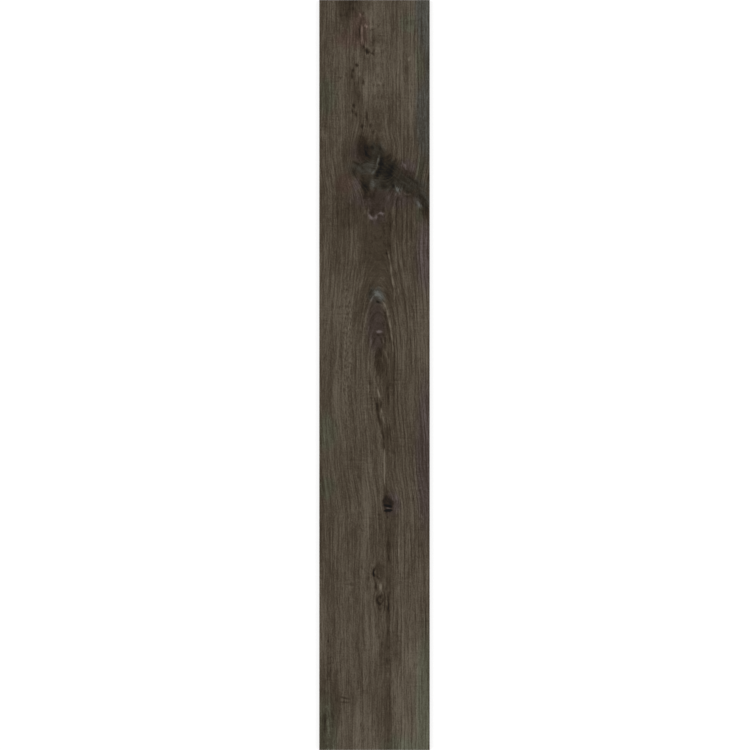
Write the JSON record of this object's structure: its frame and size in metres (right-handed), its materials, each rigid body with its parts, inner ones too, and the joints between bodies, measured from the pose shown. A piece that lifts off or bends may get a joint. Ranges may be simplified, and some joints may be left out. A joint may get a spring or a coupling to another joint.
{
  "type": "wood look porcelain plank tile",
  "caption": "Long rectified porcelain plank tile with a dark wood look face and a keyed back, for floors and walls.",
  "frame": {"origin": "middle of the back, on the plane of its ribs", "axes": "+Z from the back to the wood look face, +Y along the plank, towards the end beside the large knot, +X across it"},
  "size_m": [0.265, 1.8, 0.01],
  "materials": {
    "porcelain": "matt, printed with dark oak grain over a light relief; bare fired body on the ground edges and the back"
  },
  "bodies": {
    "root": {"plank_tile": "porcelain"}
  },
  "joints": []
}
